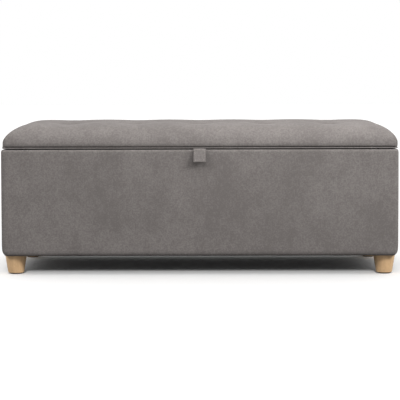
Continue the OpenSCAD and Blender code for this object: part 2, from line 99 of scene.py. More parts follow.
def soft_box(name, place, aim, width, height, power, spare):
    """An area light on everything but one thing."""
    data = bpy.data.lights.new(name, "AREA")
    data.shape = "RECTANGLE"
    data.size = width
    data.size_y = height
    data.energy = power
    lamp = bpy.data.objects.new(name, data)
    lamp.location = place
    lamp.rotation_euler = (Vector(aim) - Vector(place)).to_track_quat("-Z", "Y").to_euler()
    bpy.context.scene.collection.objects.link(lamp)
    reach(lamp, spare, "EXCLUDE")


def room():
    """White to the camera. To everything else, a room brightest overhead and dim at the ground."""
    world = bpy.data.worlds.new("white_room")
    bpy.context.scene.world = world
    world.use_nodes = True
    tree = world.node_tree
    tree.nodes.clear()
    direction = put(tree, "ShaderNodeTexCoord")
    axes = put(tree, "ShaderNodeSeparateXYZ")
    strength = put(tree, "ShaderNodeMapRange", {"interpolation_type": "LINEAR"})
    for key, number in (("From Min", -0.02), ("From Max", 1.0), ("To Min", 0.1), ("To Max", 1.3)):
        strength.inputs[key].default_value = number
    light = put(tree, "ShaderNodeBackground", Color=(1.0, 0.995, 0.985, 1))
    seen = put(tree, "ShaderNodeBackground", Color=(1, 1, 1, 1))
    path = put(tree, "ShaderNodeLightPath")
    mix = put(tree, "ShaderNodeMixShader")
    out = put(tree, "ShaderNodeOutputWorld")
    join = tree.links.new
    join(direction.outputs["Generated"], axes.inputs[0])
    join(axes.outputs["Z"], strength.inputs["Value"])
    join(strength.outputs["Result"], light.inputs["Strength"])
    join(path.outputs["Is Camera Ray"], mix.inputs["Fac"])
    join(light.outputs[0], mix.inputs[1])
    join(seen.outputs[0], mix.inputs[2])
    join(mix.outputs[0], out.inputs["Surface"])


def lights(ground):
    """High side lights and two broad ones in front for the bench, and one of its own for the floor."""
    aim = (0, FRONT_Y, 0.3)
    soft_box("left_light", (-2.9, -1.7, 2.35), aim, width=0.8, height=0.8, power=84, spare=ground)
    soft_box("right_light", (2.9, -1.7, 2.35), aim, width=0.8, height=0.8, power=140, spare=ground)
    soft_box("front_light", (0.4, -1.1, 1.4), aim, width=1.6, height=0.5, power=17, spare=ground)
    soft_box("low_light", (0.3, -3.2, 0.2), aim, width=2.5, height=0.2, power=14, spare=ground)
    daylight(ground)


def reach(lamp, thing, state):
    """Makes a light include only one thing, or exclude it."""
    group = bpy.data.collections.new(lamp.name + "_reach")
    lamp.light_linking.receiver_collection = group
    group.objects.link(thing)
    group.collection_objects[0].light_linking.link_state = state


def daylight(ground):
    """An even light for the floor alone, soft-edged and from the front, that keeps it white."""
    data = bpy.data.lights.new("floor_light", "SUN")
    data.energy = 1.9
    data.angle = math.radians(16)
    lamp = bpy.data.objects.new("floor_light", data)
    lamp.rotation_euler = (math.radians(56), 0, 0)
    bpy.context.scene.collection.objects.link(lamp)
    reach(lamp, ground, "INCLUDE")


def floor():
    """A wide white sheet under the bench."""
    shape = bmesh.new()
    bmesh.ops.create_grid(shape, x_segments=1, y_segments=1, size=30)
    sheet = mesh_object("floor", shape)
    sheet.data.materials.append(floor_finish())
    sheet.visible_diffuse = False
    return sheet


# ---------------------------------------------------------------- mesh helpers


def mesh_object(name, shape):
    """Turns a bmesh into a smooth-shaded object at the origin."""
    data = bpy.data.meshes.new(name)
    shape.to_mesh(data)
    shape.free()
    for polygon in data.polygons:
        polygon.use_smooth = True
    made = bpy.data.objects.new(name, data)
    bpy.context.scene.collection.objects.link(made)
    return made


def outward(shape):
    """Joins doubled corners and turns the faces outwards."""
    bmesh.ops.remove_doubles(shape, verts=shape.verts, dist=1e-6)
    bmesh.ops.recalc_face_normals(shape, faces=shape.faces)


def loft(shape, loops, closed=False):
    """Extrudes a loop of points to each of the next, back to the first where it is closed.

    Returns the edges of the first loop and of the last.
    """
    corners = [shape.verts.new(p) for p in loops[0]]
    first = [shape.edges.new((corners[i - 1], corners[i])) for i in range(len(corners))]
    last = first
    for points in loops[1:] + ([loops[0]] if closed else []):
        made = bmesh.ops.extrude_edge_only(shape, edges=last)["geom"]
        grown = {item for item in made if isinstance(item, bmesh.types.BMVert)}
        last = [item for item in made if isinstance(item, bmesh.types.BMEdge)]
        tips = []
        for corner, point in zip(corners, points):
            ends = (edge.other_vert(corner) for edge in corner.link_edges)
            tips.append(next(end for end in ends if end in grown))
            tips[-1].co = point
        corners = tips
    return first, last


def apply_modifiers(made):
    """Bakes what the modifiers make into the mesh."""
    bpy.context.view_layer.update()
    graph = bpy.context.evaluated_depsgraph_get()
    data = bpy.data.meshes.new_from_object(made.evaluated_get(graph))
    made.modifiers.clear()
    made.data = data


def subdivide(made):
    """Smooths a piece with one level of subdivision, still to be applied."""
    smooth = made.modifiers.new("smooth", "SUBSURF")
    smooth.levels = smooth.render_levels = 1


def wave(point, size, seed):
    """Slow unevenness, from -1 to 1, that changes over about the given size."""
    return noise.noise(Vector(point) / size + Vector((seed, 2.7 * seed, -1.3 * seed)))


# ---------------------------------------------------------------- shader helpers


def put(tree, kind, settings=None, **values):
    """Adds a node with its settings, and its input sockets' values by name."""
    made = tree.nodes.new(kind)
    for key, value in (settings or {}).items():
        setattr(made, key, value)
    for key, value in values.items():
        made.inputs[key.replace("_", " ")].default_value = value
    return made


def new_group(name, inputs, outputs):
    """A node group with sockets given as (name, kind, starting value)."""
    tree = bpy.data.node_groups.new(name, "ShaderNodeTree")
    for label, kind, value in inputs:
        socket = tree.interface.new_socket(name=label, in_out="INPUT", socket_type="NodeSocket" + kind)
        socket.default_value = value
    for label, kind in outputs:
        tree.interface.new_socket(name=label, in_out="OUTPUT", socket_type="NodeSocket" + kind)
    return tree, put(tree, "NodeGroupInput"), put(tree, "NodeGroupOutput")


def blank_finish(name, **values):
    """A material with its Principled shader's constants set, and Object coordinates."""
    made = bpy.data.materials.new(name)
    made.use_nodes = True
    tree = made.node_tree
    shader = tree.nodes["Principled BSDF"]
    for key, value in values.items():
        shader.inputs[key.replace("_", " ")].default_value = value
    place = put(tree, "ShaderNodeTexCoord")
    return made, tree, shader, place.outputs["Object"]


def use_group(tree, group, **values):
    """Places a node group in a material, with its sockets' values by name."""
    made = put(tree, "ShaderNodeGroup")
    made.node_tree = group
    for key, value in values.items():
        made.inputs[key.replace("_", " ")].default_value = value
    return made


def bump(tree, height, shader, strength, distance):
    """Raises a surface by a height socket, over a distance in metres."""
    made = put(tree, "ShaderNodeBump", Strength=strength, Distance=distance)
    tree.links.new(height, made.inputs["Height"])
    tree.links.new(made.outputs["Normal"], shader.inputs["Normal"])


def maths(tree, kind, first, second):
    """A Math node of two inputs, each a socket or a number."""
    made = put(tree, "ShaderNodeMath", {"operation": kind})
    for socket, value in zip(made.inputs, (first, second)):
        if isinstance(value, (int, float)):
            socket.default_value = value
        else:
            tree.links.new(value, socket)
    return made.outputs[0]


def noise_value(tree, place, scale, detail=2.0, rough=0.5, stretch=None):
    """Noise of about 0 to 1, stretched along the axes where stretch is given."""
    if stretch:
        spread = put(tree, "ShaderNodeMapping", Scale=stretch)
        tree.links.new(place, spread.inputs["Vector"])
        place = spread.outputs["Vector"]
    made = put(tree, "ShaderNodeTexNoise", Scale=scale, Detail=detail, Roughness=rough)
    tree.links.new(place, made.inputs["Vector"])
    return made.outputs["Fac"]


def ramp(tree, value, low, high):
    """A soft step from 0 at the low value to 1 at the high one."""
    made = put(tree, "ShaderNodeMapRange", {"interpolation_type": "SMOOTHSTEP"})
    made.inputs["From Min"].default_value = low
    made.inputs["From Max"].default_value = high
    tree.links.new(value, made.inputs["Value"])
    return made.outputs["Result"]


def blend_colour(tree, amount, first, second):
    """Mixes two colours, each a socket, by a socket's amount."""
    made = put(tree, "ShaderNodeMix", {"data_type": "RGBA"})
    for key, value in (("Factor", amount), (6, first), (7, second)):
        tree.links.new(value, made.inputs[key])
    return made.outputs[2]


# ---------------------------------------------------------------- finishes


def nap_group():
    """Brushed pile: soft patches where it lies another way, faint upright strokes and fine fibres."""
    tree, given, out = new_group(
        "brushed_nap",
        [
            ("Place", "Vector", (0, 0, 0)),
            ("Colour", "Color", (0.3, 0.28, 0.27, 1)),
            ("Shade", "Color", (0.22, 0.2, 0.19, 1)),
            ("Patches", "Float", 0.5),
        ],
        [("Colour", "Color"), ("Height", "Float")],
    )
    place = given.outputs["Place"]
    join = tree.links.new
    fibre = noise_value(tree, place, 620.0, rough=0.6)
    broad = noise_value(tree, place, 5.5, detail=3.0, rough=0.55, stretch=(1.0, 1.0, 0.75))
    broad = ramp(tree, broad, 0.38, 0.66)
    soft = noise_value(tree, place, 24.0, detail=3.0, rough=0.6, stretch=(1.2, 1.2, 0.8))
    soft = ramp(tree, soft, 0.34, 0.7)
    layers = (
        (broad, 0.3),
        (soft, 0.22),
        (ramp(tree, noise_value(tree, place, 70.0, stretch=(1.0, 1.0, 0.22)), 0.3, 0.72), 0.07),
        (ramp(tree, noise_value(tree, place, 110.0, rough=0.55), 0.34, 0.68), 0.26),
        (ramp(tree, noise_value(tree, place, 230.0, rough=0.6), 0.36, 0.64), 0.44),
        (fibre, 0.2),
    )
    worn = 0.0
    for layer, weight in layers:
        worn = maths(tree, "ADD", worn, maths(tree, "MULTIPLY", layer, weight))
    worn = maths(tree, "MULTIPLY", worn, given.outputs["Patches"])
    colour = blend_colour(tree, worn, given.outputs["Colour"], given.outputs["Shade"])
    height = maths(tree, "ADD", maths(tree, "MULTIPLY", fibre, 0.6), maths(tree, "MULTIPLY", soft, 0.4))
    join(colour, out.inputs["Colour"])
    join(height, out.inputs["Height"])
    return tree


def wood_group():
    """Long grain along local Z of the place given, with darker growth lines and pores."""
    tree, given, out = new_group(
        "wood_grain",
        [
            ("Place", "Vector", (0, 0, 0)),
            ("Colour", "Color", (0.6, 0.42, 0.24, 1)),
            ("Shade", "Color", (0.4, 0.26, 0.14, 1)),
            ("Amount", "Float", 0.6),
        ],
        [("Colour", "Color"), ("Height", "Float")],
    )
    place = given.outputs["Place"]
    join = tree.links.new
    bands = noise_value(tree, place, 60.0, detail=3.0, rough=0.55, stretch=(1.0, 1.0, 0.08))
    lines = noise_value(tree, place, 320.0, rough=0.6, stretch=(1.0, 1.0, 0.04))
    pores = ramp(tree, noise_value(tree, place, 700.0, detail=1.0, stretch=(1.0, 1.0, 0.06)), 0.56, 0.72)
    worn = maths(tree, "ADD", maths(tree, "MULTIPLY", bands, 0.6), maths(tree, "MULTIPLY", lines, 0.45))
    worn = ramp(tree, worn, 0.3, 0.75)
    worn = maths(tree, "ADD", maths(tree, "MULTIPLY", worn, 0.8), maths(tree, "MULTIPLY", pores, 0.35))
    worn = maths(tree, "MULTIPLY", worn, given.outputs["Amount"])
    join(blend_colour(tree, worn, given.outputs["Colour"], given.outputs["Shade"]), out.inputs["Colour"])
    join(maths(tree, "SUBTRACT", 1.0, pores), out.inputs["Height"])
    return tree


def speckle_group():
    """Fine unevenness for plain finishes: a light and a shade colour over two sizes of noise."""
    tree, given, out = new_group(
        "speckle",
        [
            ("Place", "Vector", (0, 0, 0)),
            ("Colour", "Color", (0.5, 0.5, 0.5, 1)),
            ("Shade", "Color", (0.4, 0.4, 0.4, 1)),
            ("Size", "Float", 200.0),
            ("Low", "Float", 0.3),
            ("High", "Float", 0.5),
        ],
        [("Colour", "Color"), ("Value", "Float"), ("Height", "Float")],
    )
    place = given.outputs["Place"]
    join = tree.links.new
    fine = put(tree, "ShaderNodeTexNoise", Detail=3.0, Roughness=0.6)
    join(place, fine.inputs["Vector"])
    join(given.outputs["Size"], fine.inputs["Scale"])
    fine_part = maths(tree, "MULTIPLY", fine.outputs["Fac"], 0.6)
    broad_part = maths(tree, "MULTIPLY", noise_value(tree, place, 14.0), 0.4)
    mask = ramp(tree, maths(tree, "ADD", fine_part, broad_part), 0.35, 0.65)
    spread = put(tree, "ShaderNodeMapRange")
    join(mask, spread.inputs["Value"])
    join(given.outputs["Low"], spread.inputs["To Min"])
    join(given.outputs["High"], spread.inputs["To Max"])
    join(blend_colour(tree, mask, given.outputs["Colour"], given.outputs["Shade"]), out.inputs["Colour"])
    join(spread.outputs["Result"], out.inputs["Value"])
    join(fine.outputs["Fac"], out.inputs["Height"])
    return tree


NAP = nap_group()
GRAIN = wood_group()
SPECKLE = speckle_group()


def plush_finish(name, colour, shade):
    """Short dense pile: matt, with light caught at a glancing angle."""
    made, tree, shader, place = blank_finish(
        name,
        Roughness=0.95,
        Specular_IOR_Level=0.12,
        Sheen_Weight=0.12,
        Sheen_Roughness=0.45,
        Sheen_Tint=(1.0, 0.96, 0.94, 1),
    )
    nap = use_group(tree, NAP, Colour=(*colour, 1), Shade=(*shade, 1), Patches=1.0)
    tree.links.new(place, nap.inputs["Place"])
    tree.links.new(nap.outputs["Colour"], shader.inputs["Base Color"])
    bump(tree, nap.outputs["Height"], shader, strength=0.35, distance=0.6 * MM)
    return made


def wood_finish(name, colour, shade, rough, turn=(0, 0, 0)):
    """Sanded wood, with its grain along Z unless it is turned."""
    made, tree, shader, place = blank_finish(name, Roughness=rough)
    lie = put(tree, "ShaderNodeMapping", Rotation=turn)
    tree.links.new(place, lie.inputs["Vector"])
    grain = use_group(tree, GRAIN, Colour=(*colour, 1), Shade=(*shade, 1), Amount=0.6)
    tree.links.new(lie.outputs["Vector"], grain.inputs["Place"])
    tree.links.new(grain.outputs["Colour"], shader.inputs["Base Color"])
    bump(tree, grain.outputs["Height"], shader, strength=0.12, distance=0.4 * MM)
    return made


def speckled_finish(name, colour, shade, size, rough, lift=0.1, **values):
    """A plain finish with two close colours, and roughness between a low and a high value."""
    made, tree, shader, place = blank_finish(name, **values)
    low, high = rough
    spots = use_group(
        tree, SPECKLE, Colour=(*colour, 1), Shade=(*shade, 1), Size=size, Low=low, High=high
    )
    tree.links.new(place, spots.inputs["Place"])
    tree.links.new(spots.outputs["Colour"], shader.inputs["Base Color"])
    tree.links.new(spots.outputs["Value"], shader.inputs["Roughness"])
    bump(tree, spots.outputs["Height"], shader, strength=lift, distance=0.4 * MM)
    return made


def lining_finish():
    """Black pressed cloth, with rows of small bonded dimples."""
    made, tree, shader, place = blank_finish("black_lining", Roughness=0.85)
    cells = put(tree, "ShaderNodeTexVoronoi", {"feature": "F1"}, Scale=420.0, Randomness=0.15)
    tree.links.new(place, cells.inputs["Vector"])
    dimple = ramp(tree, cells.outputs["Distance"], 0.15, 0.45)
    colours = {"Colour": (0.016, 0.016, 0.017, 1), "Shade": (0.03, 0.03, 0.031, 1)}
    spots = use_group(tree, SPECKLE, **colours, Size=260.0, Low=0.7, High=0.95)
    tree.links.new(place, spots.inputs["Place"])
    tree.links.new(spots.outputs["Colour"], shader.inputs["Base Color"])
    tree.links.new(spots.outputs["Value"], shader.inputs["Roughness"])
    bump(tree, dimple, shader, strength=0.25, distance=0.4 * MM)
    return made


def floor_finish():
    """Matt white with no shine."""
    made, tree, shader, place = blank_finish("white_floor", Roughness=0.9, Specular_IOR_Level=0.0)
    colours = {"Colour": (0.95, 0.95, 0.95, 1), "Shade": (0.94, 0.94, 0.94, 1)}
    spots = use_group(tree, SPECKLE, **colours, Size=3.0, Low=0.9, High=0.95)
    tree.links.new(place, spots.inputs["Place"])
    tree.links.new(spots.outputs["Colour"], shader.inputs["Base Color"])
    return made


PLUSH = plush_finish("grey_plush", (0.162, 0.148, 0.142), (0.105, 0.095, 0.091))
THREAD = speckled_finish("grey_thread", (0.42, 0.38, 0.36), (0.3, 0.27, 0.26), size=900.0, rough=(0.6, 0.8))
FINISHES = {
    "plush": PLUSH,
    "lining": lining_finish(),
    "oak": wood_finish("light_oak", (0.56, 0.37, 0.2), (0.36, 0.215, 0.105), rough=0.5),
    "ply": wood_finish(
        "birch_ply", (0.6, 0.46, 0.3), (0.42, 0.3, 0.18), rough=0.6, turn=(0, math.radians(90), 0)
    ),
    "foam": speckled_finish(
        "cream_foam", (0.75, 0.7, 0.5), (0.55, 0.5, 0.33), size=500.0, rough=(0.85, 1.0), lift=0.5
    ),
    "rubber": speckled_finish(
        "dark_rubber", (0.03, 0.03, 0.03), (0.05, 0.05, 0.048), size=300.0, rough=(0.55, 0.8)
    ),
    "steel": speckled_finish(
        "zinc_plate", (0.62, 0.62, 0.6), (0.45, 0.46, 0.46), size=160.0, rough=(0.22, 0.42), lift=0.05,
        Metallic=1.0,
    ),
    "nylon": speckled_finish(
        "white_nylon", (0.78, 0.77, 0.72), (0.66, 0.65, 0.6), size=240.0, rough=(0.3, 0.5)
    ),
    "twine": speckled_finish(
        "cream_twine", (0.7, 0.62, 0.46), (0.5, 0.42, 0.3), size=800.0, rough=(0.7, 0.9), lift=0.4
    ),
}

# ---------------------------------------------------------------- lid pad

# Where the pad's ends are, and how far in from its edges it rolls over
PAD_LEFT, PAD_RIGHT = HALF_W - 4.5 * MM, HALF_W - 2.5 * MM
ROLL_LEFT, ROLL_RIGHT, ROLL_Y = 92 * MM, 82 * MM, 120 * MM
# How full the roll is: 2 is a quarter of an ellipse
POWER_X, POWER_Y = 1.65, 2.1
# A low ridge along the middle of the pad, and how far from the middle it reaches
RIDGE, RIDGE_REACH = 3.4 * MM, 110 * MM
PAD_H = PAD_HIGH.z - PAD_LOW.z
PAD_CORNER = 15 * MM
# The top of the pad's upright edge, which the hem hangs from
WALL_Z = PAD_LOW.z + 11 * MM
# The hem's turns, in from the pad's edge and down from WALL_Z (mm), ending under the pad
HEM = ((0.05, 3), (0.2, 6), (0.5, 8.6), (1.1, 10.6), (2.2, 12), (4.2, 12.6), (5.2, 11), (24, 11))
# The hem is thinner at the ends, to stay outside the lid's boards, which start just past this
BOARD_IN = 5.4 * MM
TUFT_PITCH_X, TUFT_PITCH_Y = 200 * MM, 100 * MM
TUFTS = [
    (column * TUFT_PITCH_X, MID_Y + row * TUFT_PITCH_Y) for row in (-1, 1) for column in (-2, -1, 0, 1, 2)
]
BUTTON_R = 11 * MM
# How deep a button draws the pad down: the part close to it, and the part that spreads
CLOSE_DRAW, CLOSE_REACH = 12.5 * MM, 11 * MM
BROAD_DRAW, BROAD_REACH = 7 * MM, 38 * MM
# Folds down the front: place along the bench (mm), lean and depth (mm)
CREASES = ((-372, 0.1, 0.8), (-288, -0.15, 0.6), (-115, 0.1, 0.7), (172, -0.1, 0.7), (474, 0.2, 0.6))
# How wide a fold is, how far from the front its middle lies, and how far it runs to either side
CREASE_WIDTH, CREASE_MIDDLE, CREASE_LENGTH = 9 * MM, 55 * MM, 60 * MM


def spread_roll(share, half, roll):
    """Where along a side a share of it from -1 to 1 lies, closer together where the pad rolls over."""
    flat = 0.7
    side = abs(share)
    if side < flat:
        place = side / flat * (half - roll)
    else:
        place = half - roll + roll * math.sin(math.radians(90) * (side - flat) / (1 - flat))
    return math.copysign(place, share)


def rise(inset, roll, power):
    """Height of the roll, from 0 at the pad's edge to 1 at its crown."""
    share = 1 - min(max(inset / roll, 0), 1)
    return (1 - share**power) ** (1 / power)


def soft_least(first, second, soft):
    """The lesser of two heights, with their meeting line rounded."""
    near = max(soft - abs(first - second), 0) / soft
    return (min(first, second) - near * near * soft / 4) / (1 - soft / 4)


def dimple(x, y):
    """How far the tufting draws the pad down at a place."""
    deepest = 0.0
    for tuft_x, tuft_y in TUFTS:
        away = max(math.hypot(x - tuft_x, y - tuft_y) - BUTTON_R, 0)
        close = CLOSE_DRAW * math.exp(-away / CLOSE_REACH)
        broad = BROAD_DRAW * math.exp(-((away / BROAD_REACH) ** 1.5))
        deepest = max(deepest, close + broad)
    return deepest


def creases(x, y):
    """Faint folds drawn down the front between the tufts."""
    drawn = 0.0
    for place, lean, depth in CREASES:
        line = x - place * MM - lean * (y - FRONT_Y)
        drawn += depth * math.exp(-((line / CREASE_WIDTH) ** 2))
    fade = max(0.0, 1 - abs((y - FRONT_Y) - CREASE_MIDDLE) / CREASE_LENGTH)
    return drawn * fade * MM


def crown(x, y, half, roll_x):
    """Height of the pad's top, before the tufting draws it down."""
    over_end = rise(half - abs(x), roll_x, POWER_X)
    over_side = rise(HALF_D - abs(y), ROLL_Y, POWER_Y)
    high = soft_least(over_end, over_side, 0.1)
    ridge = RIDGE * (math.cos(math.pi * min(abs(y) / RIDGE_REACH, 1)) + 1) / 2 * high**2
    upright = (WALL_Z - PAD_LOW.z) / PAD_H
    return PAD_LOW.z + PAD_H * (upright + (1 - upright) * max(high, 0)) + ridge


def round_corner(x, y, half):
    """Brings a place near a corner of the pad's outline in to the corner's round."""
    past_x, past_y = abs(x) - (half - PAD_CORNER), abs(y) - (HALF_D - PAD_CORNER)
    if past_x > 0 and past_y > 0:
        round_x = past_x * math.sqrt(1 - (past_y / PAD_CORNER) ** 2 / 2)
        round_y = past_y * math.sqrt(1 - (past_x / PAD_CORNER) ** 2 / 2)
        x = math.copysign(half - PAD_CORNER + round_x, x)
        y = math.copysign(HALF_D - PAD_CORNER + round_y, y)
    return x, y


def turn_under(shape):
    """Draws the cover down around the pad's edge and in under the lid, one loop for each turn of the hem."""
    side = 30 * MM
    rim = [edge for edge in shape.edges if edge.is_boundary]
    last = 0.0
    for inset, drop in HEM:
        made = bmesh.ops.extrude_edge_only(shape, edges=rim)["geom"]
        rim = [item for item in made if isinstance(item, bmesh.types.BMEdge)]
        for vert in {vert for edge in rim for vert in edge.verts}:
            x, y = vert.co.x, vert.co.y - MID_Y
            half = PAD_LEFT if x < 0 else PAD_RIGHT
            inwards = Vector((max(abs(x) - (half - side), 0), max(abs(y) - (HALF_D - side), 0)))
            inwards.normalize()
            if inset < HEM[-1][0]:
                inwards.x *= (half - HALF_W + BOARD_IN) / BOARD_IN
            vert.co.x -= math.copysign(inwards.x, x) * (inset - last) * MM
            vert.co.y -= math.copysign(inwards.y, y) * (inset - last) * MM
            vert.co.z = WALL_Z - drop * MM
        last = inset


def lid_pad():
    """The lid's foam and cover: a crowned pad with rolled edges, drawn down at ten buttons."""
    shape = bmesh.new()
    bmesh.ops.create_grid(shape, x_segments=172, y_segments=80, size=1.0)
    for vert in shape.verts:
        half, roll_x = (PAD_LEFT, ROLL_LEFT) if vert.co.x < 0 else (PAD_RIGHT, ROLL_RIGHT)
        x = spread_roll(vert.co.x, half, roll_x)
        y = spread_roll(vert.co.y, HALF_D, ROLL_Y)
        top = crown(x, y, half, roll_x)
        x, y = round_corner(x, y, half)
        y += MID_Y
        vert.co = (x, y, top - dimple(x, y) - creases(x, y))
    turn_under(shape)
    outward(shape)
    pad = mesh_object("lid_pad", shape)
    inflate(pad, held_pad, pressure=4.0, cap=4 * MM)
    subdivide(pad)
    apply_modifiers(pad)
    close_under(pad)
    pad.data.materials.append(PLUSH)
    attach(pad, "lid")
    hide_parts("lid_cover", "lid_foam")


def close_under(made):
    """Closes the flat underside, inside the hem."""
    shape = bmesh.new()
    shape.from_mesh(made.data)
    hem = [edge for edge in shape.edges if edge.is_boundary]
    for face in bmesh.ops.contextual_create(shape, geom=hem)["faces"]:
        face.smooth = False
    bmesh.ops.recalc_face_normals(shape, faces=shape.faces)
    shape.to_mesh(made.data)
    shape.free()


def held_pad(place):
    """How firmly the pad's cover is held at a place: fully at the hem and under the buttons."""
    if place.z < WALL_Z - 2 * MM:
        return 1.0
    nearest = min(math.hypot(place.x - tuft_x, place.y - tuft_y) for tuft_x, tuft_y in TUFTS)
    return 1.0 if nearest < BUTTON_R + 3 * MM else 0.0


CLOTH_FRAMES = 20


def inflate(made, held, pressure, cap):
    """Cloth swelled from inside, then held within a cap of where it started."""
    before = [vert.co.copy() for vert in made.data.vertices]
    pins = made.vertex_groups.new(name="held")
    for index, place in enumerate(before):
        firm = held(place)
        if firm > 0:
            pins.add([index], firm, "REPLACE")
    cloth = made.modifiers.new("cover", "CLOTH")
    settings = cloth.settings
    settings.quality = 5
    settings.mass = 0.4
    settings.tension_stiffness = settings.compression_stiffness = 20
    settings.shear_stiffness = 6
    settings.bending_stiffness = 2
    settings.use_pressure = True
    settings.uniform_pressure_force = pressure
    settings.effector_weights.gravity = 0
    settings.vertex_group_mass = "held"
    cloth.collision_settings.use_collision = False
    scene = bpy.context.scene
    for number in range(1, CLOTH_FRAMES + 1):
        scene.frame_set(number)
    apply_modifiers(made)
    scene.frame_set(1)
    for vert, start in zip(made.data.vertices, before):
        move = vert.co - start
        if move.length > 1e-7:
            vert.co = start + move * (cap * math.tanh(move.length / cap) / move.length)
    made.vertex_groups.clear()


# ---------------------------------------------------------------- box upholstery


# The box's upright corners, and the sharp corners' signs in the order that they are walked
CORNER_R = 14 * MM
CORNERS = ((1, 1), (-1, 1), (-1, -1), (1, -1))
# Steps along a long side and along an end, and around a corner
LONG_STEPS, END_STEPS, ROUND_STEPS = 80, 30, 6
# The upholstery's rounding (mm): in and up at the lower edge, and in and down at the rim
LOWER_IN, LOWER_UP, RIM_IN, RIM_DOWN = 8, 16, 4, 9
# Its depth in from the outside (mm): on the panels, over the rim and under the box
SIDE_IN, OVER_IN, BELOW_IN = 9.4, 24.5, 35


def outline(inset, z):
    """Points around the box at one inset and height, closer together around the upright corners."""
    radius = max(CORNER_R - inset, MM)
    centre_x, centre_y = HALF_W - inset - radius, HALF_D - inset - radius
    arcs = []
    for quarter in range(len(CORNERS) + 1):
        side_x, side_y = CORNERS[quarter % len(CORNERS)]
        centre = Vector((side_x * centre_x, side_y * centre_y, 0))
        turns = [math.radians(90 * (quarter + step / ROUND_STEPS)) for step in range(ROUND_STEPS + 1)]
        arcs.append([centre + Vector((math.cos(turn), math.sin(turn), 0)) * radius for turn in turns])
    points = []
    for arc, after, count in zip(arcs, arcs[1:], (LONG_STEPS, END_STEPS) * 2):
        points += arc
        points += [arc[-1].lerp(after[0], step / count) for step in range(1, count)]
    return [Vector((p.x, p.y + MID_Y, z)) for p in points]


def box_section(low, high, case_low, case_high):
    """The upholstery's section around its foam, as insets (mm) and heights."""
    section = [(BELOW_IN, low), (24, low), (12, low)]
    for step in range(1, 7):
        turn = math.radians(15 * step)
        section.append((LOWER_IN * (1 - math.sin(turn)), low + LOWER_UP * MM * (1 - math.cos(turn))))
    rows = 21
    upright = high - low - (LOWER_UP + RIM_DOWN) * MM
    section += [(0, low + LOWER_UP * MM + upright * step / rows) for step in range(1, rows)]
    for step in range(7):
        turn = math.radians(15 * step)
        section.append((RIM_IN * (1 - math.cos(turn)), high - RIM_DOWN * MM * (1 - math.sin(turn))))
    section += [(12, high), (OVER_IN, high), (OVER_IN, case_high), (SIDE_IN, case_high)]
    return section + [(SIDE_IN, case_low), (BELOW_IN, case_low)]


def between_ends(share):
    """From 0 at either end of a side to 1 at its middle, rising steeply."""
    return math.sin(math.pi * min(max(share, 0), 1)) ** 0.25


def swell(shape, low, high):
    """Fills the sides a little between their edges, with the slow unevenness of hand-pulled cloth."""
    for vert in shape.verts:
        p = vert.co
        x, y = p.x, p.y - MID_Y
        end_in, side_in = HALF_W - abs(x), HALF_D - abs(y)
        inside = min(end_in, side_in) > 9 * MM
        if inside or p.z < low + 3 * MM or p.z > high - 1.2 * MM:
            continue
        up = (p.z - low) / (high - low)
        out = 1.4 * MM * math.sin(math.pi * up) ** 0.7
        out += 0.5 * MM * wave(p, 0.11, 3.0) + 0.35 * MM * wave(p, 0.045, 8.0)
        on_end, on_side = end_in < 12.5 * MM, side_in < 12.5 * MM
        if on_side and not on_end:
            vert.co.y += math.copysign(out * between_ends((x + HALF_W) / (2 * HALF_W)), y)
        elif on_end and not on_side:
            vert.co.x += math.copysign(out * between_ends((y + HALF_D) / (2 * HALF_D)), x)


def draw_in_ends(shape, low):
    """Rounds the ends of the box in towards its lower corners."""
    height, length, most = 26 * MM, 30 * MM, 13 * MM
    for vert in shape.verts:
        under = 1 - min((vert.co.z - low) / height, 1)
        near = max(abs(vert.co.x) - (HALF_W - length), 0) / length
        pull = most * (1 - math.sqrt(1 - under**2)) * near**2
        vert.co.x -= math.copysign(pull, vert.co.x)


def box_upholstery():
    """The foam and cover around the box: rounded over the rim and under the lower edge."""
    low, high = COVER_LOW.z, COVER_HIGH.z
    section = box_section(low, high, PANEL_LOW.z - 0.1 * MM, PANEL_HIGH.z + 0.1 * MM)
    shape = bmesh.new()
    loft(shape, [outline(inset * MM, z) for inset, z in section], closed=True)
    swell(shape, low, high)
    draw_in_ends(shape, low)
    outward(shape)
    made = mesh_object("box_upholstery", shape)
    subdivide(made)
    apply_modifiers(made)
    made.data.materials.append(PLUSH)
    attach(made, "box")
    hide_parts("box_cover", "front_foam", "back_foam", "left_end_foam", "right_end_foam")


def plate(shape, low, high):
    """Adds a closed block between two corners."""
    made = bmesh.ops.create_cube(shape, size=1.0)["verts"]
    size = [b - a for a, b in zip(low, high)]
    middle = [(a + b) / 2 for a, b in zip(low, high)]
    bmesh.ops.scale(shape, verts=made, vec=size)
    bmesh.ops.translate(shape, verts=made, vec=middle)


def rim_facing():
    """The cover where it folds over the hinge rail and the two front posts."""
    shape = bmesh.new()
    low, high = PANEL_HIGH.z + 0.1 * MM, COVER_HIGH.z - 0.1 * MM
    past_rail = 30.2 * MM
    edge = RAIL_HIGH.x + past_rail
    plate(shape, (-edge, RAIL_LOW.y, low), (edge, RAIL_HIGH.y, high))
    for side in (-1, 1):
        ends = sorted((side * -POST_LOW.x, side * -POST_HIGH.x))
        plate(shape, (ends[0], POST_LOW.y, low), (ends[1], POST_HIGH.y, high))
    bmesh.ops.bevel(
        shape,
        geom=list(shape.edges),
        offset=0.4 * MM,
        offset_type="OFFSET",
        segments=2,
        profile=0.5,
        affect="EDGES",
        material=-1,
    )
    outward(shape)
    made = mesh_object("rim_facing", shape)
    made.data.materials.append(PLUSH)
    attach(made, "box")


# The hem's section around the lid's lower edge: in from the outside and up from the underside (mm)
WELT = ((5.4, -1), (3.4, -1), (2.5, -0.5), (2.2, 0.6), (2.4, 1.7), (3.3, 2.4), (5.4, 2.5))


